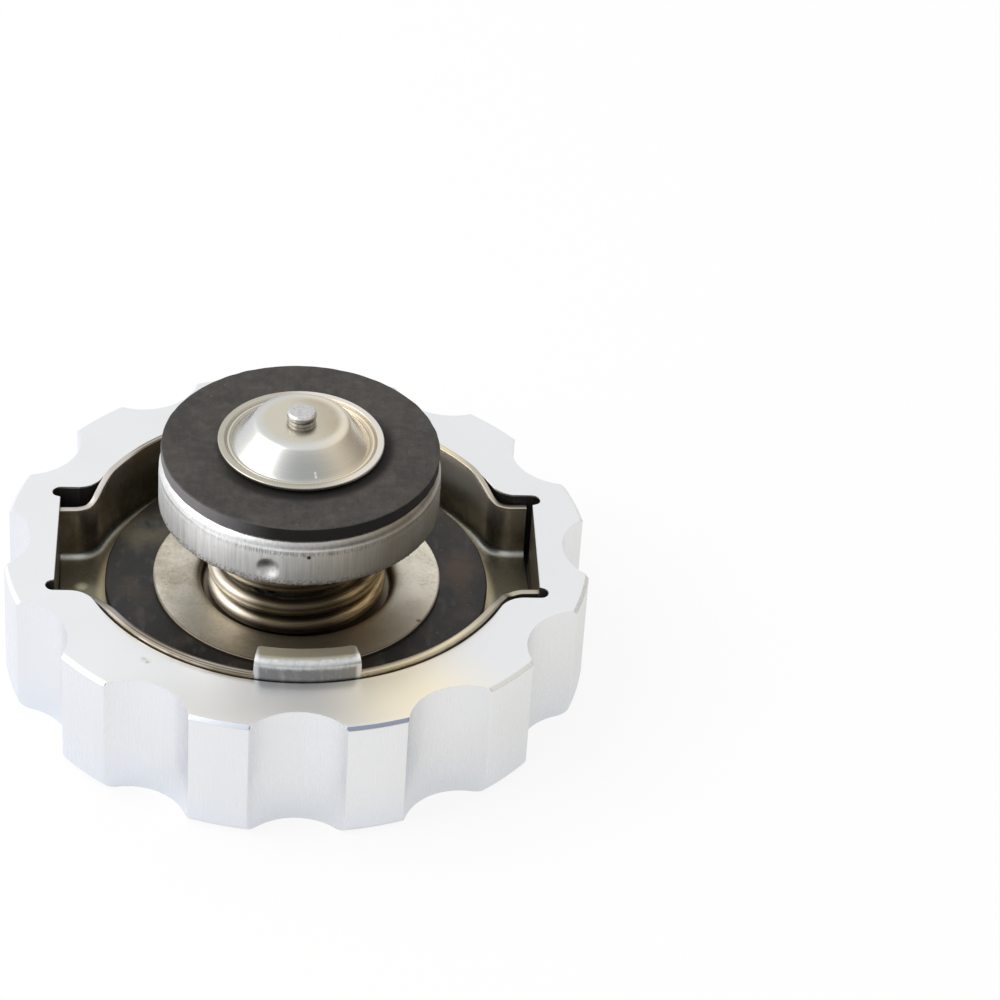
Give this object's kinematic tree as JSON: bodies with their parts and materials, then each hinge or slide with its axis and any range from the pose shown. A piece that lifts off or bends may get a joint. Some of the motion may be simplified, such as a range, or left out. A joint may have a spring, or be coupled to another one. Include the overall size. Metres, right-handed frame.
{
  "type": "radiator cap",
  "caption": "Round bayonet pressure cap under a scalloped billet cover, with a sprung pressure valve, a vacuum valve and a neck gasket, lying valve side up.",
  "frame": {"origin": "centre of the cover's closed face, which the cap lies on", "axes": "+Z along the cap's axis, the way the valve points; +X through an ear of the shell's slots in the cover; the cam tabs are on the Y axis"},
  "size_m": [0.0848, 0.0848, 0.043],
  "materials": {
    "anodised": "satin",
    "plated_shell": "satin",
    "zinc_plate": "satin",
    "drawn_aluminium": "satin",
    "spring_steel": "satin",
    "black_rubber": "matte"
  },
  "bodies": {
    "cap": {"billet_cover": "anodised", "cap_shell": "plated_shell", "centre_rivet": "zinc_plate"},
    "valve_carrier": {"diaphragm_spring": "zinc_plate", "neck_gasket": "black_rubber", "spring_seat": "zinc_plate", "spring_bell": "zinc_plate", "main_spring": "spring_steel"},
    "pressure_valve": {"valve_drum": "drawn_aluminium", "valve_plate": "zinc_plate", "valve_washer": "black_rubber", "vacuum_spring": "spring_steel"},
    "vacuum_valve": {"vacuum_dish": "zinc_plate", "vacuum_stem": "zinc_plate", "spring_retainer": "zinc_plate"}
  },
  "joints": [
    {"name": "carrier_swivel", "type": "hinge", "parent": "cap", "child": "valve_carrier", "pos_m": [0, 0, 0.0105], "axis": [0, 0, 1], "continuous": true},
    {"name": "pressure_lift", "type": "slide", "parent": "valve_carrier", "child": "pressure_valve", "axis": [0, 0, -1], "range_m": [0, 0.0045], "stiffness_N_per_m": 6000, "deforming": ["main_spring"]},
    {"name": "vacuum_lift", "type": "slide", "parent": "pressure_valve", "child": "vacuum_valve", "axis": [0, 0, 1], "range_m": [0, 0.002], "stiffness_N_per_m": 200, "springref_m": -0.001, "deforming": ["vacuum_spring"]}
  ]
}
